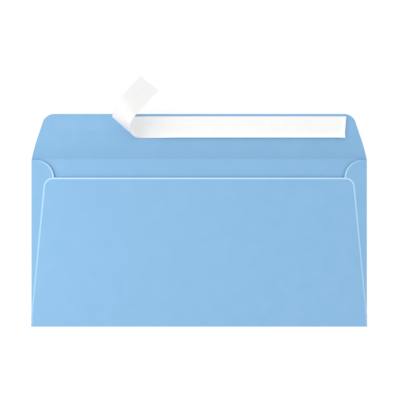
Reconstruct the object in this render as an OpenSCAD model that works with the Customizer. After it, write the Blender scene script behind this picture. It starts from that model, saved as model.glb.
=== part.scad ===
// Self-seal paper envelope of the long DL shape, lying on its address panel with the closure flap open.
// Origin: centre of the address panel's outer face. +X runs along the length, +Y to the open flap, +Z up.

/* [Envelope] */
// Length of the closed envelope, from side fold to side fold
envelope_length = 220; // [200:1:240]
// Height of the closed envelope, from bottom fold to flap crease
envelope_height = 110; // [100:1:125]
// Thickness of the paper
paper = 0.15; // [0.1:0.01:0.2]
// Air between the address panel and the side flaps, left by the spring of the folds
pocket_gap = 0.5; // [0.4:0.05:1.2]

/* [Back panel] */
// Distance of the throat edge below the flap crease
throat_drop = 12.4; // [10:0.1:18]
// How far the sides of the back panel have run in at the throat
back_inset = 8.8; // [6:0.1:10]
// Height above the bottom fold at which the sides of the back panel begin to run in
back_straight = 7.5; // [4:0.5:15]
// Radius of the two corners beside the throat
throat_corner_r = 6.2; // [3:0.1:12]

/* [Side flaps] */
// Width of a side flap, from the side fold to its inner edge
side_flap_width = 15; // [13.5:0.5:20]
// Radius of a side flap's upper inner corner
side_flap_corner_r = 12; // [6:0.5:12]
// Distance of a side flap's upper edge below the flap crease, clear of the crease's own curve
side_flap_top_gap = 0.6; // [0.6:0.1:2]
// Distance of a side flap's lower edge above the bottom fold
side_flap_bottom_gap = 3; // [2:0.5:6]
// Slant of a side flap's lower edge, in degrees
side_flap_slant = 20; // [0:1:30]

/* [Closure flap] */
// Depth of the closure flap, along the paper from the crease
flap_depth = 29.3; // [29.3:0.1:36]
// How far the ends of the flap have run in at its upper edge
flap_inset = 12.2; // [8:0.1:14]
// Radius of the two upper corners of the flap
flap_corner_r = 8; // [4:0.5:12]
// Radius of the soft crease between the address panel and the flap
crease_r = 1.5; // [1:0.1:2]
// Angle to the table at which the flap leaves the crease, in degrees
crease_angle = 30; // [22:1:36]
// Angle to the table of the flap's upper part, which is flat, in degrees
flap_angle = 14; // [6:1:20]
// Length of paper over which the flap leans back from the first angle to the second
flap_bend = 13; // [9:0.5:13]

/* [Seam gum] */
// Thickness of the dried gum
gum = 0.05; // [0.03:0.01:0.1]
// Width of the gum line
gum_width = 4; // [2:0.5:4.5]
// Distance of the gum line from the edge of the back panel
gum_margin = 1; // [0.5:0.1:1.5]
// Distance of the gum line's ends from the throat edge and from the lower end of the side flap
gum_end_gap = 7; // [7:0.5:12]

/* [Seal strip] */
// Width of the release liner
liner_width = 13.6; // [10:0.1:13.6]
// Length of the release liner, laid flat
liner_length = 187; // [175:0.5:187]
// Thickness of the release liner
liner = 0.1; // [0.06:0.01:0.15]
// Margin of bare paper above the liner
liner_margin = 1.5; // [1:0.1:1.8]
// Thickness of the seal adhesive
adhesive = 0.05; // [0.03:0.01:0.1]
// Width of the adhesive line, which leaves the liner's lower margin free to be lifted
adhesive_width = 8; // [6:0.5:8.5]
// How far the liner stands over the adhesive along its upper edge and at its ends
liner_overhang = 1; // [0.5:0.1:1.5]

/* [Peeled end of the liner] */
// Distance from the middle of the envelope to where the curl of the liner begins
curl_start = 35; // [30:0.5:45]
// Length of liner that is curved
curl_length = 41.5; // [40:0.5:48]
// Number of narrow flats that make up the curl
curl_steps = 42; // [20:1:60]
// Skew of the curl where it begins, after one and two thirds of it and where it ends
curl_skew = [-0.3, 1.6, -0.3, 0.5]; // [-0.3:0.05:1.7]
// Radius of the curl where it begins, at its middle and where it ends
curl_radius = [8, 15, 8.5]; // [8:0.1:18]

/* [Hidden] */
$fn = 96;

blue = [0.57, 0.75, 0.92];
white = [0.98, 0.98, 0.98];
clear = [0.9, 0.95, 1, 0.4];
gum_tint = [0.93, 0.9, 0.8, 0.8];

half_length = envelope_length / 2;
bottom_y = -envelope_height / 2;
crease_y = envelope_height / 2;
throat_y = crease_y - throat_drop;

// Heights of the layers, from the table up
side_flap_z = paper + pocket_gap;
gum_z = side_flap_z + paper;
back_z = gum_z + gum;
closed_thickness = back_z + paper;

// Outer radii of the folds
side_fold_r = gum_z / 2;
bottom_fold_r = closed_thickness / 2;

// The crease takes up this much paper on each side of the crease line
crease_reach = crease_r * tan(crease_angle / 2);

// The flap seen from its side, on its upper face: the bent part's radius is negative, as it turns back down
crease_middle = [crease_y - crease_reach, paper + crease_r];
bend_start = crease_middle + crease_r * [sin(crease_angle), -cos(crease_angle)];
bend_r = flap_bend / (flap_angle - crease_angle) * 180 / PI;
bend_middle = bend_start - bend_r * [sin(crease_angle), -cos(crease_angle)];
flat_start = bend_middle + bend_r * [sin(flap_angle), -cos(flap_angle)];
flat_length = flap_depth - crease_reach - flap_bend;
flap_tip = flat_start + flat_length * [cos(flap_angle), sin(flap_angle)];

side_flap_top = crease_y - side_flap_top_gap;
side_flap_bottom = bottom_y + side_flap_bottom_gap;

liner_high = flat_length - liner_margin;
liner_low = liner_high - liner_width;

// Number of narrow flats that make up the crease, the bent part of the flap and each round corner
arc_steps = 12;

// How much wider than the sheet the waste that is cut off it is taken
waste = 5;

// Arc that rounds the corner between the points before and after it
function round_corner(before, corner, after, r) =
    let (
        to_before = (before - corner) / norm(before - corner),
        to_after = (after - corner) / norm(after - corner),
        half = acos(to_before * to_after) / 2,
        middle = corner + (to_before + to_after) / norm(to_before + to_after) * r / sin(half),
        start = corner + to_before * r / tan(half) - middle,
        side = corner - middle - start * (start * (corner - middle)) / (r * r),
        turn = 180 - 2 * half
    )
    [
        for (i = [0:arc_steps])
            let (a = turn * i / arc_steps)
            middle + start * cos(a) + side / norm(side) * r * sin(a)
    ];

module both_sides() {
    children();
    mirror([1, 0, 0]) children();
}

// Points along an arc that begins at the slope start and ends at the slope end
function arc(middle, r, start, end) = [
    for (i = [0:arc_steps])
        let (slope = start + (end - start) * i / arc_steps)
        middle + r * [sin(slope), -cos(slope)]
];

// Half ring with its open side towards +X of the drawing
module half_ring(outer_r, inner_r) {
    difference() {
        circle(outer_r);
        circle(inner_r);
        translate([0, -outer_r - waste]) square([outer_r + waste, 2 * (outer_r + waste)]);
    }
}

// Places a child on the flat part of the flap's upper face, with its Y up the slope
module on_flap() {
    translate([0, flat_start[0], flat_start[1]]) rotate([flap_angle, 0, 0]) children();
}

// The sheet seen from its side: back panel, bottom fold, address panel, crease and open flap
module length_profile() {
    fold_y = bottom_y + bottom_fold_r;
    translate([fold_y, back_z]) square([throat_y - fold_y, paper]);
    translate([fold_y, bottom_fold_r]) half_ring(bottom_fold_r, bottom_fold_r - paper);
    polygon(concat(
        [[fold_y, paper], [fold_y, 0]],
        arc(crease_middle, crease_r + paper, 0, crease_angle),
        arc(bend_middle, bend_r + paper, crease_angle, flap_angle),
        [flap_tip + paper * [sin(flap_angle), -cos(flap_angle)], flap_tip],
        arc(bend_middle, bend_r, flap_angle, crease_angle),
        arc(crease_middle, crease_r, crease_angle, 0)
    ));
}

// What is cut off the back panel on the right: the run-in of its side and the round of its corner
module back_waste() {
    foot = [half_length, bottom_y + back_straight];
    corner = [half_length - back_inset, throat_y];
    polygon(concat(
        [foot],
        round_corner(foot, corner, [0, throat_y], throat_corner_r),
        [[0, throat_y], [0, throat_y + waste], [half_length + waste, throat_y + waste], foot + [waste, 0]]
    ));
}

// What is cut off the flap on the right: the run-in of its end and the round of its corner
module flap_waste() {
    foot = [half_length, crease_y];
    corner = [half_length - flap_inset, flap_tip[0]];
    middle = [half_length / 2, flap_tip[0]];
    polygon(concat(
        [foot],
        round_corner(foot, corner, middle, flap_corner_r),
        [middle + [0, waste], [half_length + waste, flap_tip[0] + waste], foot + [waste, 0]]
    ));
}

// Right side flap seen from above, from the side fold to its inner edge
module side_flap_outline() {
    inner_x = half_length - side_flap_width;
    fold_x = half_length - side_fold_r;
    rise = (fold_x - inner_x) * tan(side_flap_slant);
    polygon(concat(
        [[fold_x, side_flap_bottom], [half_length, side_flap_bottom], [half_length, side_flap_top]],
        round_corner(
            [half_length, side_flap_top], [inner_x, side_flap_top], [inner_x, bottom_y], side_flap_corner_r
        ),
        [[inner_x, side_flap_bottom + rise]]
    ));
}

// Right side flap with its fold, and a strip of the address panel that it hangs on
module side_flap() {
    fold_x = half_length - side_fold_r;
    intersection() {
        translate([0, side_flap_top, 0])
            rotate([90, 0, 0])
                linear_extrude(side_flap_top - side_flap_bottom) {
                    translate([fold_x - side_flap_width / 2, 0]) square([side_flap_width / 2, paper]);
                    translate([fold_x, side_fold_r])
                        mirror([1, 0])
                            half_ring(side_fold_r, side_fold_r - paper);
                    translate([half_length - side_flap_width, side_flap_z])
                        square([side_flap_width - side_fold_r, paper]);
                }
        union() {
            linear_extrude(gum_z + waste) side_flap_outline();
            translate([0, 0, -waste])
                linear_extrude(waste + side_fold_r)
                    translate([0, side_flap_bottom])
                        square([half_length, side_flap_top - side_flap_bottom]);
        }
    }
}

module envelope_sheet() {
    color(blue) {
        difference() {
            translate([-half_length, 0, 0])
                rotate([90, 0, 90])
                    linear_extrude(envelope_length)
                        length_profile();
            both_sides() {
                translate([0, 0, gum_z]) linear_extrude(waste) back_waste();
                translate([half_length - side_fold_r, side_flap_bottom, -paper])
                    cube([waste, side_flap_top - side_flap_bottom, side_fold_r + paper]);
                translate([0, 0, -waste]) linear_extrude(flap_tip[1] + 2 * waste) flap_waste();
            }
        }
        both_sides() side_flap();
    }
}

// Gum line on the right, parallel to the edge of the back panel
module seam_gum() {
    run_in = back_inset / (throat_y - bottom_y - back_straight);
    low_y = side_flap_bottom + side_flap_width * tan(side_flap_slant) + gum_end_gap;
    high_y = throat_y - gum_end_gap;
    low_x = half_length - gum_margin - run_in * max(0, low_y - bottom_y - back_straight);
    high_x = half_length - gum_margin - run_in * (high_y - bottom_y - back_straight);
    color(gum_tint)
        translate([0, 0, gum_z])
            linear_extrude(gum)
                polygon([
                    [low_x, low_y],
                    [high_x, high_y],
                    [high_x - gum_width, high_y],
                    [low_x - gum_width, low_y]
                ]);
}

module seam_gum_right() {
    seam_gum();
}

module seam_gum_left() {
    mirror([1, 0, 0]) seam_gum();
}

module adhesive_strip() {
    strip_length = liner_length - 2 * liner_overhang;
    color(clear)
        on_flap()
            translate([-strip_length / 2, liner_high - liner_overhang - adhesive_width, 0])
                cube([strip_length, adhesive_width, adhesive]);
}

// Turning by an angle about the line from point a to point b, as a matrix
function turn_about(a, b, angle) =
    let (
        u = (b - a) / norm(b - a),
        c = cos(angle),
        s = sin(angle),
        r = [
            [c + u[0] * u[0] * (1 - c), u[0] * u[1] * (1 - c) - u[2] * s, u[0] * u[2] * (1 - c) + u[1] * s],
            [u[1] * u[0] * (1 - c) + u[2] * s, c + u[1] * u[1] * (1 - c), u[1] * u[2] * (1 - c) - u[0] * s],
            [u[2] * u[0] * (1 - c) - u[1] * s, u[2] * u[1] * (1 - c) + u[0] * s, c + u[2] * u[2] * (1 - c)]
        ],
        d = a - r * a
    )
    [
        [r[0][0], r[0][1], r[0][2], d[0]],
        [r[1][0], r[1][1], r[1][2], d[1]],
        [r[2][0], r[2][1], r[2][2], d[2]],
        [0, 0, 0, 1]
    ];

function moved(m, p) =
    let (q = m * [p[0], p[1], p[2], 1])
    [q[0], q[1], q[2]];

// Value at the share f of the way through a short list of values
function along(values, f) =
    let (
        spans = len(values) - 1,
        i = min(floor(f * spans), spans - 1)
    )
    values[i] + (values[i + 1] - values[i]) * (f * spans - i);

// The curl is folded along these lines, drawn on the liner while it is flat
step_length = curl_length / curl_steps;
curvature = [for (r = curl_radius) 1 / r];
function step_share(i) = i / (curl_steps - 1);
function step_turn(i) = along(curvature, step_share(i)) * step_length * 180 / PI;
function step_x(i, side) =
    -curl_start - (i + 0.5) * step_length - side * along(curl_skew, step_share(i)) * liner_width / 2;
function step_low(i) = [step_x(i, -1), liner_low, 0];
function step_high(i) = [step_x(i, 1), liner_high, 0];

// Where each flat of the curl ends up once all the folds before it are made
flats = [
    for (
        i = 0, m = turn_about([0, 0, 0], [0, 1, 0], 0);
        i <= curl_steps;
        m = m * turn_about(step_low(i), step_high(i), step_turn(i)), i = i + 1
    ) m
];

// One cut across the liner: its low and high edge on the adhesive side, then on the upper side
function fold_cut(i) =
    let (
        half = step_turn(i) / 2,
        m = flats[i] * turn_about(step_low(i), step_high(i), half),
        up = [0, 0, liner / cos(half)]
    )
    [for (p = [step_low(i), step_high(i), step_high(i) + up, step_low(i) + up]) moved(m, p)];

function end_cut(x, m) =
    [for (p = [[x, liner_low, 0], [x, liner_high, 0], [x, liner_high, liner], [x, liner_low, liner]]) moved(m, p)];

module release_liner() {
    cuts = concat(
        [end_cut(liner_length / 2, flats[0])],
        [for (i = [0:curl_steps - 1]) fold_cut(i)],
        [end_cut(-liner_length / 2, flats[curl_steps])]
    );
    last = len(cuts) - 1;
    sides = [
        for (i = [0:last - 1], k = [0:3])
            let (a = 4 * i + k, b = 4 * i + (k + 1) % 4)
            [a, a + 4, b + 4, b]
    ];
    color(white)
        on_flap()
            translate([0, 0, adhesive])
                polyhedron(
                    points = [for (cut = cuts, p = cut) p],
                    faces = concat(sides, [[0, 1, 2, 3], [4 * last + 3, 4 * last + 2, 4 * last + 1, 4 * last]]),
                    convexity = 6
                );
}

envelope_sheet();
seam_gum_left();
seam_gum_right();
adhesive_strip();
release_liner();
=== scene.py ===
"""Blue self-seal envelope, pocket side up, its flap open and its release liner peeled back at one end."""

import math

import bmesh
import bpy
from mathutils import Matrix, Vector
from mathutils.geometry import intersect_point_line


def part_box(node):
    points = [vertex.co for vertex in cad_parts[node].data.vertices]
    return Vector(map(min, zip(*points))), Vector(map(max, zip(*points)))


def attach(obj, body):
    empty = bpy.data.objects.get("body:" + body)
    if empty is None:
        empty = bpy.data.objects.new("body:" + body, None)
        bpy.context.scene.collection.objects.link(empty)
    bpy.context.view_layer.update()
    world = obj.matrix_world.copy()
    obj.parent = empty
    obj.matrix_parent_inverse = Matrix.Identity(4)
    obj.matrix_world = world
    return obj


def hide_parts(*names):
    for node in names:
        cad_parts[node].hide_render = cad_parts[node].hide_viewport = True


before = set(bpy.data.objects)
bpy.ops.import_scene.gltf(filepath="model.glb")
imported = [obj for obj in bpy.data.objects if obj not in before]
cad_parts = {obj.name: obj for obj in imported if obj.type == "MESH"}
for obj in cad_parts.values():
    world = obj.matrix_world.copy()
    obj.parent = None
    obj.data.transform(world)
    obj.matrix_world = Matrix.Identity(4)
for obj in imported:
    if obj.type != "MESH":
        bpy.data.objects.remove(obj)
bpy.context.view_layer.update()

MM = 0.001

# How near two places count as one, when picking and when cutting
SNAP = 0.01 * MM
CUT_SNAP = 0.001 * MM

# The sheet's outer size and the heights of its layers, from the frame, whose origin is the body's middle
sheet_low, sheet_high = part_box("envelope_sheet")
gum_low, gum_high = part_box("seam_gum_right")
HALF_LENGTH = sheet_high[0]
BOTTOM_Y = sheet_low[1]
CREASE_Y = -sheet_low[1]
SIDE_FLAP_FACE = gum_low[2]
BACK_FACE = gum_high[2]

# The paper and its folds
PAPER = 0.15 * MM
SIDE_FOLD_R = SIDE_FLAP_FACE / 2
BOTTOM_FOLD_R = (BACK_FACE + PAPER) / 2
FOLD_STEPS = 12
CORNER_STEPS = 14
SMOOTH_BELOW = math.radians(40)
FOLD_X = HALF_LENGTH - SIDE_FOLD_R
FOLD_Y = BOTTOM_Y + BOTTOM_FOLD_R

# Back panel
THROAT_DROP = 12.4 * MM
THROAT_Y = CREASE_Y - THROAT_DROP
BACK_INSET = 8.8 * MM
BACK_STRAIGHT = 7.5 * MM
BACK_SLANT_RISE = THROAT_Y - BOTTOM_Y - BACK_STRAIGHT
THROAT_CORNER_R = 6.2 * MM

# Side flaps
SIDE_FLAP_WIDTH = 15 * MM
SIDE_FLAP_CORNER_R = 12 * MM
SIDE_FLAP_TOP_GAP = 0.6 * MM
SIDE_FLAP_BOTTOM_GAP = 3 * MM
SIDE_FLAP_TOP = CREASE_Y - SIDE_FLAP_TOP_GAP
SIDE_FLAP_BOTTOM = BOTTOM_Y + SIDE_FLAP_BOTTOM_GAP
SIDE_FLAP_SLANT = math.radians(20)

# Closure flap, which leaves the crease steeply, leans back and ends in a flat part
FLAP_DEPTH = 29.3 * MM
FLAP_INSET = 12.2 * MM
FLAP_CORNER_R = 8 * MM
CREASE_R = 1.5 * MM
CREASE_ANGLE = math.radians(30)
CREASE_STEPS = 8
FLAP_ANGLE = math.radians(14)
FLAP_BEND = 13 * MM
BEND_STEPS = 16
CREASE_REACH = CREASE_R * math.tan(CREASE_ANGLE / 2)
CREASE_MIDDLE = Vector((0, CREASE_Y - CREASE_REACH, PAPER + CREASE_R))
BEND_R = FLAP_BEND / (CREASE_ANGLE - FLAP_ANGLE)
FLAT_LENGTH = FLAP_DEPTH - CREASE_REACH - FLAP_BEND

# Bow of the pocket, and how full it stays towards its side folds and its bottom fold
POCKET_BOW = 1.0 * MM
SIDE_FULLNESS = 8
BOTTOM_FULLNESS = 6

# Score lines that let the sheet bow, in mm from its middle, from its sides and from its bottom fold
MIDDLE_SCORES = range(0, 101, 10)
SIDE_SCORES = (2, 4, 6.5)
BOTTOM_SCORES = (2, 4, 6.5, 10, 14, 19, *range(25, 90, 8))

# Painted highlight along the cut edges of the back panel and the side flaps, as a paler band: where it
# fades, and how pale it is
HIGHLIGHT_BAND = 1.4 * MM
BAND_FADE = (0.15, 0.5)
THROAT_HIGHLIGHT = 0.93
BACK_SIDE_HIGHLIGHT = 0.68
BACK_SIDE_HIGHLIGHT_FADE = 0.4
SIDE_FLAP_HIGHLIGHT = 0.75
SIDE_FLAP_HIGHLIGHT_FADE = 1.3

# Gum lines between the side flaps and the back panel
GUM = BACK_FACE - SIDE_FLAP_FACE
GUM_WIDTH = 4 * MM
GUM_MARGIN = 1 * MM
GUM_END_GAP = 7 * MM
GUM_CUTS = 15

# Seal strip, laid flat
LINER_WIDTH = 13.6 * MM
LINER_LENGTH = 187 * MM
LINER = 0.1 * MM
LINER_MARGIN = 1.5 * MM
LINER_OVERHANG = 1 * MM
ADHESIVE = 0.05 * MM
ADHESIVE_WIDTH = 8 * MM
LINER_HIGH = FLAT_LENGTH - LINER_MARGIN
LINER_LOW = LINER_HIGH - LINER_WIDTH

# The liner's free lower margin, whose lift grows away from the curl, and its right end, which lifts too
FREE_MARGIN = LINER_WIDTH - LINER_OVERHANG - ADHESIVE_WIDTH
FREE_LIFT = 1.5 * MM
LIFT_GROWTH = 20 * MM
END_MARGIN = 5 * MM
END_LIFT = 0.9 * MM

# Score lines that let the liner lift: shares of its margin, and mm from its curl and from its right end
MARGIN_SCORES = (0.25, 0.5, 0.75, 1)
FLAT_SCORES = range(5, 121, 5)
END_SCORES = (5.5, 4.5, 3.5, 2.5, 1.5, 0.5)

# Curl of the peeled end, with the skew and radius at even shares of its length, from its start to its end
CURL_START = 35 * MM
CURL_LENGTH = 41.5 * MM
CURL_STEPS = 63
CURL_SKEW = (-0.3, 1.6, -0.3, 0.5)
CURL_RADIUS = (8 * MM, 15 * MM, 8.5 * MM)

# Where in its clouds each finish is darkest and lightest, and its two tints there, in 0 to 255 steps
CLOUD_ENDS = (0.3, 0.7)
PAPER_TINT = ((134, 181, 219), (138, 184, 222))
HIGHLIGHT_TINT = ((198, 232, 250), (201, 234, 252))
LINER_TINT = ((244, 244, 244), (247, 247, 247))
RELEASE_TINT = ((233, 233, 233), (236, 236, 236))
GUM_TINT = ((222, 216, 196), (234, 229, 212))

# Plain colours, as linear light
BLACK = (0, 0, 0, 1)
WHITE = (1, 1, 1, 1)

# The photograph's frame, with its scale on the paper and the places of the part's middle and crease
PHOTO_SIDE = 400
PIXELS_PER_MM = 1.5264
MIDDLE_PIXEL_X = 199.15
CREASE_PIXEL_Y = 158.8
LENS = 40
SENSOR = 36
NEAR_CLIP = 0.01

# Floor, just below the paper, and how much of it the camera sees as plain white
FLOOR_SIZE = 6
FLOOR_DROP = 0.02 * MM
FLOOR_TONE = 0.9
FLOOR_GLOW = 1.05
FLOOR_WHITE_SHARE = 0.8

# Soft light, dimmest and brightest from opposite sides, and the lamp on the left
BRIGHT_SIDE = Vector((-0.15, 0.85, 0.51)).normalized()
DIM_LIGHT = 0.55
BRIGHT_LIGHT = 1.14
LAMP_PLACE = Vector((-0.3, 0, 0.28))
LAMP_SIZE = 0.5
LAMP_POWER = 0.59
LAMP_COLOUR = (1, 0.97, 0.94)


def up_slope(angle):
    """Way up a slope that rises beyond the body."""
    return Vector((0, math.cos(angle), math.sin(angle)))


def off_slope(angle):
    """Way square to that slope, off its upper side."""
    return Vector((0, -math.sin(angle), math.cos(angle)))


BEND_START = CREASE_MIDDLE - CREASE_R * off_slope(CREASE_ANGLE)
BEND_MIDDLE = BEND_START - BEND_R * off_slope(CREASE_ANGLE)
FLAT_START = BEND_MIDDLE + BEND_R * off_slope(FLAP_ANGLE)
FLAP_TIP = FLAT_START + FLAT_LENGTH * up_slope(FLAP_ANGLE)


def deselect_all():
    bpy.ops.object.select_all(action="DESELECT")


def activate(piece):
    """Makes a piece the only selected one and the one that operators act on."""
    deselect_all()
    piece.select_set(True)
    bpy.context.view_layer.objects.active = piece


def add_panel(name, low_x, high_x, low_y, high_y, height):
    """Adds a flat rectangle and leaves it in edit mode."""
    deselect_all()
    middle = ((low_x + high_x) / 2, (low_y + high_y) / 2, height)
    bpy.ops.mesh.primitive_plane_add(size=1, location=middle)
    panel = bpy.context.object
    panel.name = name
    panel.data.name = name
    panel.scale = (high_x - low_x, high_y - low_y, 1)
    bpy.ops.object.transform_apply(location=True, rotation=True, scale=True)
    bpy.ops.object.mode_set(mode="EDIT")
    return panel


def middle_of(item):
    if hasattr(item, "co"):
        return item.co
    return sum((v.co for v in item.verts), Vector()) / len(item.verts)


def pick_items(piece, kind, wanted):
    """Selects only the vertices, edges or faces that are wanted, given each item and its number."""
    bpy.ops.mesh.select_mode(type=kind)
    bpy.ops.mesh.select_all(action="DESELECT")
    mesh = bmesh.from_edit_mesh(piece.data)
    items = {"VERT": mesh.verts, "EDGE": mesh.edges, "FACE": mesh.faces}[kind]
    for number, item in enumerate(items):
        if wanted(item, number):
            item.select_set(True)
    mesh.select_flush_mode()
    bmesh.update_edit_mesh(piece.data)


def pick(piece, kind, wanted):
    """Selects only the vertices, edges or faces whose middle is wanted."""
    pick_items(piece, kind, lambda item, number: wanted(middle_of(item)))


def roll_edge(turn, middle, axis, steps=FOLD_STEPS):
    """Rolls the picked edge round an axis, which makes a fold. Spin turns the other way round."""
    bpy.ops.mesh.spin(steps=steps, angle=-turn, center=middle, axis=axis)


def draw_out(way):
    """Extends the picked edge into a flat panel."""
    bpy.ops.mesh.extrude_region_move(TRANSFORM_OT_translate={"value": way})


def score(point, across):
    """Cuts a line through all that is picked, and leaves both sides."""
    bpy.ops.mesh.bisect(plane_co=point, plane_no=across, threshold=CUT_SNAP)


def score_all(point, across):
    """Cuts a line through the whole piece."""
    bpy.ops.mesh.select_all(action="SELECT")
    score(point, across)


def trim(point, outward):
    """Cuts the picked faces along a plane and takes off the outward side."""
    bpy.ops.mesh.bisect(plane_co=point, plane_no=outward, clear_outer=True, threshold=CUT_SNAP)


def round_corner(radius, corner_angle):
    """Rounds the picked corner of a panel."""
    reach = radius / math.tan(corner_angle / 2)
    bpy.ops.mesh.bevel(
        affect="VERTICES",
        offset_type="OFFSET",
        offset=reach,
        segments=CORNER_STEPS,
        profile=0.5,
    )


def near(a, b):
    return abs(a - b) < SNAP


def on_side_flap(p):
    return near(p.z, SIDE_FLAP_FACE - PAPER / 2) and abs(p.x) < FOLD_X - SNAP


def on_back(p):
    return near(p.z, BACK_FACE + PAPER / 2) and p.y > FOLD_Y + SNAP


def on_flap(p):
    return p.y > CREASE_Y - CREASE_REACH


def start_sheet():
    """Address panel with the notches that free the side flaps."""
    sheet = add_panel("folded_sheet", -HALF_LENGTH, HALF_LENGTH, FOLD_Y, CREASE_MIDDLE.y, PAPER / 2)
    for y in (SIDE_FLAP_BOTTOM, SIDE_FLAP_TOP):
        score_all((0, y, 0), (0, 1, 0))
    for x in (-FOLD_X, FOLD_X):
        pick(sheet, "FACE", lambda p: SIDE_FLAP_BOTTOM < p.y < SIDE_FLAP_TOP)
        score((x, 0, 0), (1, 0, 0))
    pick(sheet, "FACE", lambda p: abs(p.x) > FOLD_X and SIDE_FLAP_BOTTOM < p.y < SIDE_FLAP_TOP)
    bpy.ops.mesh.delete(type="FACE")
    return sheet


def fold_side_flap(sheet, side):
    """Folds one side flap over, and gives it its slanted lower end and its round upper corner."""
    low, high = SIDE_FLAP_BOTTOM, SIDE_FLAP_TOP
    pick(sheet, "EDGE", lambda p: near(p.x, side * FOLD_X) and low < p.y < high)
    roll_edge(-side * math.pi, (side * FOLD_X, 0, SIDE_FOLD_R), (0, 1, 0))
    draw_out((-side * (SIDE_FLAP_WIDTH - SIDE_FOLD_R), 0, 0))
    inner_x = HALF_LENGTH - SIDE_FLAP_WIDTH
    pick(sheet, "FACE", lambda p: on_side_flap(p) and p.x * side > 0)
    trim(
        (side * FOLD_X, low, 0),
        (-side * math.sin(SIDE_FLAP_SLANT), -math.cos(SIDE_FLAP_SLANT), 0),
    )
    pick(sheet, "VERT", lambda p: near(p.x, side * inner_x) and near(p.y, high))
    round_corner(SIDE_FLAP_CORNER_R, math.pi / 2)


def fold_back_panel(sheet):
    """Folds the back panel up, and cuts its slanted sides and its rounded throat corners."""
    pick(sheet, "EDGE", lambda p: near(p.y, FOLD_Y) and p.z < PAPER)
    roll_edge(-math.pi, (0, FOLD_Y, BOTTOM_FOLD_R), (1, 0, 0))
    draw_out((0, THROAT_Y - FOLD_Y, 0))
    slant = math.atan2(BACK_INSET, BACK_SLANT_RISE)
    for side in (-1, 1):
        pick(sheet, "FACE", on_back)
        slant_start = (side * HALF_LENGTH, BOTTOM_Y + BACK_STRAIGHT, 0)
        trim(slant_start, (side * math.cos(slant), math.sin(slant), 0))
        corner_x = side * (HALF_LENGTH - BACK_INSET)
        pick(sheet, "VERT", lambda p: near(p.x, corner_x) and near(p.y, THROAT_Y))
        round_corner(THROAT_CORNER_R, math.pi / 2 + slant)


def open_flap(sheet):
    """Bends the closure flap up from its crease, and cuts its slanted sides and its rounded corners."""
    pick(sheet, "EDGE", lambda p: near(p.y, CREASE_MIDDLE.y) and p.z < PAPER)
    roll_edge(CREASE_ANGLE, CREASE_MIDDLE, (1, 0, 0), CREASE_STEPS)
    roll_edge(FLAP_ANGLE - CREASE_ANGLE, BEND_MIDDLE, (1, 0, 0), BEND_STEPS)
    draw_out(FLAT_LENGTH * up_slope(FLAP_ANGLE))
    slant = math.atan2(FLAP_INSET, FLAP_TIP.y - CREASE_Y)
    for side in (-1, 1):
        pick(sheet, "FACE", on_flap)
        trim((side * HALF_LENGTH, CREASE_Y, 0), (side * math.cos(slant), math.sin(slant), 0))
        pick(sheet, "VERT", lambda p: p.x * side > HALF_LENGTH / 2 and p.y > FLAP_TIP.y - MM)
        round_corner(FLAP_CORNER_R, math.pi / 2 + slant)


def score_grid():
    """Divides the panels, more closely near the side and bottom folds, so that they can bow."""
    columns = [x * MM for x in MIDDLE_SCORES] + [HALF_LENGTH - x * MM for x in SIDE_SCORES]
    for x in sorted({side * x for x in columns for side in (-1, 1)}):
        score_all((x, 0, 0), (1, 0, 0))
    for y in BOTTOM_SCORES:
        score_all((0, BOTTOM_Y + y * MM, 0), (0, 1, 0))


def distance_to(p, a, b):
    """Distance from a place to the straight edge between two ends."""
    foot, share = intersect_point_line(p, a, b)
    nearest = a if share < 0 else b if share > 1 else foot
    return (p - nearest).length


def back_highlight(p):
    """How strong the painted highlight is on the back panel: strongest along the throat, and fainter down
    the sides.
    """
    if near(p.y, THROAT_Y):
        return THROAT_HIGHLIGHT
    return BACK_SIDE_HIGHLIGHT - BACK_SIDE_HIGHLIGHT_FADE * (THROAT_Y - p.y) / (THROAT_Y - BOTTOM_Y)


def side_flap_highlight(p):
    """How strong the painted highlight is on a side flap: it fades from the flap's inner edge to its fold.
    """
    across = max(0.0, (FOLD_X - abs(p.x)) / SIDE_FLAP_WIDTH)
    return SIDE_FLAP_HIGHLIGHT * across ** SIDE_FLAP_HIGHLIGHT_FADE


def paint_edge_highlight(sheet):
    """Marks a painted highlight, a paler band along the cut edges, as two values that the paper's material
    reads.

    One is 1 on the edge and 0 a band's width in, and the other is how strong the painted highlight is
    there.
    """
    mesh = sheet.data
    uses = {}
    for face in mesh.polygons:
        for key in face.edge_keys:
            uses[key] = uses.get(key, 0) + 1
    band = mesh.attributes.new("painted_highlight", "FLOAT", "POINT")
    strength = mesh.attributes.new("highlight_strength", "FLOAT", "POINT")
    for panel, highlight_strength in ((on_back, back_highlight), (on_side_flap, side_flap_highlight)):
        points = [v for v in mesh.vertices if panel(v.co)]
        within = {v.index for v in points}
        cuts = [
            [mesh.vertices[i].co for i in key]
            for key, count in uses.items()
            if count == 1 and within.issuperset(key)
        ]
        for v in points:
            nearest = min(distance_to(v.co, a, b) for a, b in cuts)
            band.data[v.index].value = max(0.0, 1 - nearest / HIGHLIGHT_BAND)
            strength.data[v.index].value = highlight_strength(v.co)


def displace(piece, name, way, strength, shares):
    """Moves each vertex by its share of the strength."""
    group = piece.vertex_groups.new(name=name)
    for index, share in shares.items():
        group.add([index], share, "REPLACE")
    push = piece.modifiers.new(name, "DISPLACE")
    push.direction = way
    push.mid_level = 0
    push.strength = strength
    push.vertex_group = name


def pocket_bow(piece):
    """Lets the upper layers stand up between their folds and open at the throat, as a glued pocket does."""
    shares = {}
    for v in piece.data.vertices:
        if v.co.z > SIDE_FLAP_FACE - PAPER and v.co.y < SIDE_FLAP_TOP + SNAP:
            across = max(0.0, 1 - (abs(v.co.x) / FOLD_X) ** SIDE_FULLNESS)
            downward = min(1.0, max(0.0, (THROAT_Y - v.co.y) / (THROAT_Y - FOLD_Y)))
            shares[v.index] = across * (1 - downward ** BOTTOM_FULLNESS)
    displace(piece, "pocket_bow", "Z", POCKET_BOW, shares)


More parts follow.
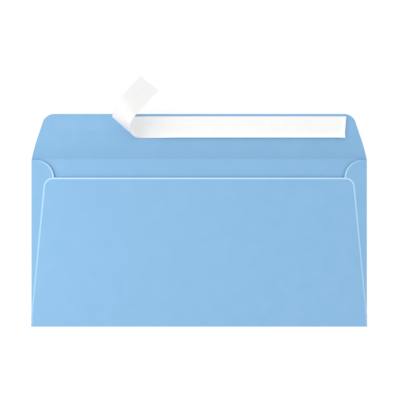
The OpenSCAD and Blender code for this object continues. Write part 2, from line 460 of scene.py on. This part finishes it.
def thicken(piece, thickness):
    """Gives a flat piece its thickness, half to each side."""
    wall = piece.modifiers.new("thickness", "SOLIDIFY")
    wall.thickness = thickness
    wall.offset = 0


def apply_modifiers(piece):
    activate(piece)
    for modifier in list(piece.modifiers):
        bpy.ops.object.modifier_apply(modifier=modifier.name)


def face_outward(piece):
    bpy.ops.object.mode_set(mode="EDIT")
    bpy.ops.mesh.select_all(action="SELECT")
    bpy.ops.mesh.normals_make_consistent(inside=False)
    bpy.ops.object.mode_set(mode="OBJECT")


def dress(piece, *materials):
    piece.data.materials.clear()
    for material in materials:
        piece.data.materials.append(material)


def fold_sheet():
    """The envelope sheet, folded from one flat panel and then given its thickness."""
    sheet = start_sheet()
    for side in (-1, 1):
        fold_side_flap(sheet, side)
    fold_back_panel(sheet)
    open_flap(sheet)
    # Insets a band along the cut edges that carries the painted highlight
    for panel in (on_back, on_side_flap):
        pick(sheet, "FACE", panel)
        bpy.ops.mesh.inset(thickness=HIGHLIGHT_BAND, use_boundary=True, use_even_offset=True)
    score_grid()
    bpy.ops.mesh.select_all(action="SELECT")
    bpy.ops.mesh.normals_make_consistent(inside=False)
    bpy.ops.object.mode_set(mode="OBJECT")
    paint_edge_highlight(sheet)
    pocket_bow(sheet)
    thicken(sheet, PAPER)
    apply_modifiers(sheet)
    face_outward(sheet)
    bpy.ops.object.shade_smooth_by_angle(angle=SMOOTH_BELOW)
    return sheet


def lay_gum(side):
    """One gum line, between a side flap and the edge of the back panel."""
    name = "left_gum_line" if side < 0 else "right_gum_line"
    run = BACK_INSET / BACK_SLANT_RISE
    low_y = SIDE_FLAP_BOTTOM + SIDE_FLAP_WIDTH * math.tan(SIDE_FLAP_SLANT) + GUM_END_GAP
    high_y = THROAT_Y - GUM_END_GAP
    edge_x = HALF_LENGTH - GUM_MARGIN + run * (BOTTOM_Y + BACK_STRAIGHT)
    low_x = edge_x - run * low_y
    left_x, right_x = sorted((side * (low_x - GUM_WIDTH), side * low_x))
    gum = add_panel(name, left_x, right_x, low_y, high_y, SIDE_FLAP_FACE + GUM / 2)
    pick(gum, "VERT", lambda p: p.y > 0)
    bpy.ops.transform.translate(value=(-side * run * (high_y - low_y), 0, 0))
    bpy.ops.mesh.select_all(action="SELECT")
    bpy.ops.mesh.subdivide(number_cuts=GUM_CUTS)
    bpy.ops.object.mode_set(mode="OBJECT")
    pocket_bow(gum)
    thicken(gum, GUM)
    apply_modifiers(gum)
    face_outward(gum)
    return gum


def lay_on_flap(piece):
    """Moves a piece that was made flat on to the flat part of the flap."""
    piece.rotation_euler = (FLAP_ANGLE, 0, 0)
    piece.location = FLAT_START
    activate(piece)
    bpy.ops.object.transform_apply(location=True, rotation=True, scale=True)


def along(values, share):
    """Runs straight from value to value, with the first at share 0 and the last at share 1."""
    spans = len(values) - 1
    i = min(int(share * spans), spans - 1)
    return values[i] + (values[i + 1] - values[i]) * (share * spans - i)


def score_line(i):
    """Low and high end of a score line across the flat liner, and how far the liner turns there.

    A skew of 1 sets the two ends the liner's own width apart along its length.
    """
    step = CURL_LENGTH / CURL_STEPS
    share = i / (CURL_STEPS - 1)
    x = -CURL_START - (i + 0.5) * step
    lean = along(CURL_SKEW, share) * LINER_WIDTH / 2
    height = ADHESIVE + LINER / 2
    low = Vector((x + lean, LINER_LOW, height))
    high = Vector((x - lean, LINER_HIGH, height))
    return low, high, along([1 / r for r in CURL_RADIUS], share) * step


def fold_up(low, high, turn):
    """Turns what is picked about the flat line from low to high. Rotate turns the other way round."""
    lean = math.atan2(high.y - low.y, high.x - low.x)
    for angle, axis in ((-lean, "Z"), (turn, "X"), (lean, "Z")):
        bpy.ops.transform.rotate(value=-angle, orient_axis=axis, center_override=low)


def lift_margin(liner):
    """Lifts the liner's far end and its lower margin, where there is no adhesive, a little off the flap."""
    whole = FREE_LIFT + END_LIFT
    end = LINER_LENGTH / 2 - END_MARGIN
    lifted, drawn_in = {}, {}
    for v in liner.data.vertices:
        down_margin = max(0.0, (LINER_LOW + FREE_MARGIN - v.co.y) / FREE_MARGIN)
        from_curl = max(0.0, min(1.0, (v.co.x + CURL_START) / LIFT_GROWTH))
        growth = from_curl ** 2 * (3 - 2 * from_curl)
        along_end = max(0.0, (v.co.x - end) / END_MARGIN)
        lift = FREE_LIFT * growth * down_margin ** 2 + END_LIFT * along_end ** 2
        lifted[v.index] = lift / whole
        drawn_in[v.index] = growth ** 2 * down_margin ** 3
    displace(liner, "lifted", "Z", whole, lifted)
    # Paper doesn't stretch, so the edge comes in by what the lifted margin's curve is longer than its base
    displace(liner, "drawn_in", "Y", 2 * FREE_LIFT ** 2 / (3 * FREE_MARGIN), drawn_in)


def peel_liner(upper_face, release_face):
    """The liner, scored while it is flat and then folded a little at each line, from its free end."""
    height = ADHESIVE + LINER / 2
    half = LINER_LENGTH / 2
    liner = add_panel("peeled_liner", -half, half, LINER_LOW, LINER_HIGH, height)
    for share in MARGIN_SCORES:
        score_all((0, LINER_LOW + share * FREE_MARGIN, 0), (0, 1, 0))
    columns = [x * MM - CURL_START for x in FLAT_SCORES] + [half - x * MM for x in END_SCORES]
    for x in columns:
        score_all((x, 0, 0), (1, 0, 0))
    lines = [score_line(i) for i in range(CURL_STEPS)]
    upward = Vector((0, 0, 1))
    for low, high, _ in lines:
        score_all(low, (high - low).cross(upward).normalized())
    # What each line carries is settled while all of the liner still lies flat
    places = [v.co.copy() for v in bmesh.from_edit_mesh(liner.data).verts]
    beyond = []
    for low, high, _ in lines:
        left = upward.cross(high - low).normalized()
        beyond.append({i for i, p in enumerate(places) if (p - low).dot(left) > CUT_SNAP})
    for (low, high, turn), loose in reversed(list(zip(lines, beyond))):
        pick_items(liner, "VERT", lambda v, number: number in loose)
        fold_up(low, high, turn)
    bpy.ops.object.mode_set(mode="OBJECT")
    lift_margin(liner)
    dress(liner, upper_face, release_face)
    thicken(liner, LINER)
    liner.modifiers["thickness"].material_offset = 1
    apply_modifiers(liner)
    lay_on_flap(liner)
    face_outward(liner)
    bpy.ops.object.shade_smooth_by_angle(angle=SMOOTH_BELOW)
    return liner


def new_material(name, roughness, specular):
    """A material, with its node tree and its shader."""
    material = bpy.data.materials.new(name)
    material.use_nodes = True
    tree = material.node_tree
    shader = tree.nodes["Principled BSDF"]
    shader.inputs["Roughness"].default_value = roughness
    shader.inputs["Specular IOR Level"].default_value = specular
    return material, tree, shader


def noise(tree, scale, detail, roughness=0.55):
    """Clouds or grain, on the piece's object coordinates."""
    texture = tree.nodes.new("ShaderNodeTexNoise")
    texture.inputs["Scale"].default_value = scale
    texture.inputs["Detail"].default_value = detail
    texture.inputs["Roughness"].default_value = roughness
    place = tree.nodes.new("ShaderNodeTexCoord").outputs["Object"]
    tree.links.new(place, texture.inputs["Vector"])
    return texture.outputs["Fac"]


def marked(tree, name):
    """A value that is marked on the piece's vertices."""
    mark = tree.nodes.new("ShaderNodeAttribute")
    mark.attribute_name = name
    return mark.outputs["Fac"]


def ramp(tree, value, ends, colours):
    """Runs from one colour to another while a value goes from end to end."""
    steps = tree.nodes.new("ShaderNodeValToRGB")
    for element, position, tint in zip(steps.color_ramp.elements, ends, colours):
        element.position = position
        element.color = tint
    tree.links.new(value, steps.inputs["Fac"])
    return steps.outputs["Color"]


def colour(red, green, blue):
    """A colour given in the usual 0 to 255 steps, as linear light."""

    def linear(c):
        c = c / 255
        return c / 12.92 if c <= 0.04045 else ((c + 0.055) / 1.055) ** 2.4

    return (linear(red), linear(green), linear(blue), 1)


def cloudy_tint(tree, cloud, tints):
    return ramp(tree, cloud, CLOUD_ENDS, [colour(*tint) for tint in tints])


def paper_cloud(tree):
    return noise(tree, scale=90, detail=5, roughness=0.65)


def work_out(tree, operation, *values):
    """A value worked out from others, each of them a socket or a number."""
    result = tree.nodes.new("ShaderNodeMath")
    result.operation = operation
    for socket, value in zip(result.inputs, values):
        if isinstance(value, float):
            socket.default_value = value
        else:
            tree.links.new(value, socket)
    return result.outputs["Value"]


def blend_colours(tree, share, first, second):
    mix = tree.nodes.new("ShaderNodeMix")
    mix.data_type = "RGBA"
    tree.links.new(share, mix.inputs["Factor"])
    tree.links.new(first, mix.inputs["A"])
    tree.links.new(second, mix.inputs["B"])
    return mix.outputs["Result"]


def blend_shaders(tree, share, first, second):
    mix = tree.nodes.new("ShaderNodeMixShader")
    tree.links.new(share, mix.inputs["Fac"])
    tree.links.new(first, mix.inputs[1])
    tree.links.new(second, mix.inputs[2])
    return mix.outputs["Shader"]


def emboss(tree, shader, height, strength, depth):
    """Gives a surface the relief of a pattern."""
    relief = tree.nodes.new("ShaderNodeBump")
    relief.inputs["Strength"].default_value = strength
    relief.inputs["Distance"].default_value = depth
    tree.links.new(height, relief.inputs["Height"])
    tree.links.new(relief.outputs["Normal"], shader.inputs["Normal"])


def blue_paper():
    """The sheet's paper, with a painted highlight as a paler tint along the cut edges that are marked on
    it.
    """
    material, tree, shader = new_material("blue_paper", roughness=0.85, specular=0.3)
    cloud = paper_cloud(tree)
    sheet_tint = cloudy_tint(tree, cloud, PAPER_TINT)
    # The paler tint is a painted highlight along the cut edges
    highlight_tint = cloudy_tint(tree, cloud, HIGHLIGHT_TINT)
    band = ramp(tree, marked(tree, "painted_highlight"), BAND_FADE, (BLACK, WHITE))
    share = work_out(tree, "MULTIPLY", band, marked(tree, "highlight_strength"))
    tint = blend_colours(tree, share, sheet_tint, highlight_tint)
    tree.links.new(tint, shader.inputs["Base Color"])
    grain = noise(tree, scale=3000, detail=5)
    emboss(tree, shader, grain, strength=0.12, depth=0.02 * MM)
    return material


def coated_paper(name, tints, roughness):
    material, tree, shader = new_material(name, roughness, specular=0.2)
    cloud = noise(tree, scale=180, detail=3)
    tree.links.new(cloudy_tint(tree, cloud, tints), shader.inputs["Base Color"])
    grain = noise(tree, scale=1500, detail=3)
    emboss(tree, shader, grain, strength=0.08, depth=0.02 * MM)
    return material


def clear_adhesive():
    """Clear glue, which shows the paper below it, a little glossier."""
    material, tree, shader = new_material("clear_adhesive", roughness=0.5, specular=0.3)
    cloud = paper_cloud(tree)
    tree.links.new(cloudy_tint(tree, cloud, PAPER_TINT), shader.inputs["Base Color"])
    grain = noise(tree, scale=900, detail=2)
    emboss(tree, shader, grain, strength=0.05, depth=0.03 * MM)
    return material


def dried_gum():
    material, tree, shader = new_material("dried_gum", roughness=0.6, specular=0.5)
    cloud = noise(tree, scale=500, detail=3)
    tree.links.new(cloudy_tint(tree, cloud, GUM_TINT), shader.inputs["Base Color"])
    emboss(tree, shader, cloud, strength=0.2, depth=0.02 * MM)
    return material


def white_floor():
    """Pale floor that shows white to the camera and keeps part of the shadow."""
    deselect_all()
    bpy.ops.mesh.primitive_plane_add(size=FLOOR_SIZE, location=(0, 0, -FLOOR_DROP))
    floor = bpy.context.object
    floor.name = "floor"
    material, tree, matt = new_material("pale_floor", roughness=1, specular=0)
    matt.inputs["Base Color"].default_value = (FLOOR_TONE, FLOOR_TONE, FLOOR_TONE, 1)
    glow = tree.nodes.new("ShaderNodeEmission")
    glow.inputs["Color"].default_value = WHITE
    glow.inputs["Strength"].default_value = FLOOR_GLOW
    seen = tree.nodes.new("ShaderNodeLightPath").outputs
    seen_or_mirrored = work_out(tree, "MAXIMUM", seen["Is Camera Ray"], seen["Is Glossy Ray"])
    share = work_out(tree, "MULTIPLY", seen_or_mirrored, FLOOR_WHITE_SHARE)
    surface = blend_shaders(tree, share, matt.outputs["BSDF"], glow.outputs["Emission"])
    tree.links.new(surface, tree.nodes["Material Output"].inputs["Surface"])
    dress(floor, material)


def soft_light():
    """Soft light from all round, brighter from beyond the flap, which the camera sees as white."""
    world = bpy.data.worlds.new("studio")
    bpy.context.scene.world = world
    world.use_nodes = True
    tree = world.node_tree
    soft = tree.nodes["Background"]
    soft.inputs["Color"].default_value = WHITE
    toward = tree.nodes.new("ShaderNodeVectorMath")
    toward.operation = "DOT_PRODUCT"
    toward.inputs[1].default_value = BRIGHT_SIDE
    tree.links.new(tree.nodes.new("ShaderNodeTexCoord").outputs["Generated"], toward.inputs[0])
    level = tree.nodes.new("ShaderNodeMapRange")
    level.inputs["From Min"].default_value = -1
    level.inputs["To Min"].default_value = DIM_LIGHT
    level.inputs["To Max"].default_value = BRIGHT_LIGHT
    tree.links.new(toward.outputs["Value"], level.inputs["Value"])
    tree.links.new(level.outputs["Result"], soft.inputs["Strength"])
    white = tree.nodes.new("ShaderNodeBackground")
    white.inputs["Color"].default_value = WHITE
    white.inputs["Strength"].default_value = 1
    seen = tree.nodes.new("ShaderNodeLightPath").outputs["Is Camera Ray"]
    sky = blend_shaders(tree, seen, soft.outputs["Background"], white.outputs["Background"])
    tree.links.new(sky, tree.nodes["World Output"].inputs["Surface"])


def left_lamp():
    """A large round lamp on the left, turned to the middle of the envelope."""
    deselect_all()
    bpy.ops.object.light_add(type="AREA", location=LAMP_PLACE)
    lamp = bpy.context.object
    lamp.name = "key_lamp"
    lamp.data.shape = "DISK"
    lamp.data.size = LAMP_SIZE
    lamp.data.energy = LAMP_POWER
    lamp.data.color = LAMP_COLOUR
    lamp.visible_camera = False
    lamp.rotation_euler = (-LAMP_PLACE).to_track_quat("-Z", "Y").to_euler()


def overhead_camera():
    """Looks straight down, with the part's middle and crease where the photograph has them."""
    x = (PHOTO_SIDE / 2 - MIDDLE_PIXEL_X) / PIXELS_PER_MM * MM
    y = CREASE_Y + (CREASE_PIXEL_Y - PHOTO_SIDE / 2) / PIXELS_PER_MM * MM
    height = PHOTO_SIDE / PIXELS_PER_MM * MM * LENS / SENSOR + BACK_FACE
    deselect_all()
    bpy.ops.object.camera_add(location=(x, y, height), rotation=(0, 0, 0))
    camera = bpy.context.object
    camera.name = "camera"
    camera.data.lens = LENS
    camera.data.sensor_width = SENSOR
    camera.data.clip_start = NEAR_CLIP
    bpy.context.scene.camera = camera


bpy.context.scene.view_settings.view_transform = "Standard"
overhead_camera()
soft_light()
left_lamp()
white_floor()

sheet = fold_sheet()
dress(sheet, blue_paper())
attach(sheet, "root")
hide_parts("envelope_sheet")

liner = peel_liner(
    coated_paper("white_liner_paper", LINER_TINT, roughness=0.5),
    coated_paper("coated_liner_paper", RELEASE_TINT, roughness=0.4),
)
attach(liner, "root")
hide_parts("release_liner")

gum = dried_gum()
for side, node in ((-1, "seam_gum_left"), (1, "seam_gum_right")):
    line = lay_gum(side)
    dress(line, gum)
    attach(line, "root")
    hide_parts(node)

dress(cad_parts["adhesive_strip"], clear_adhesive())
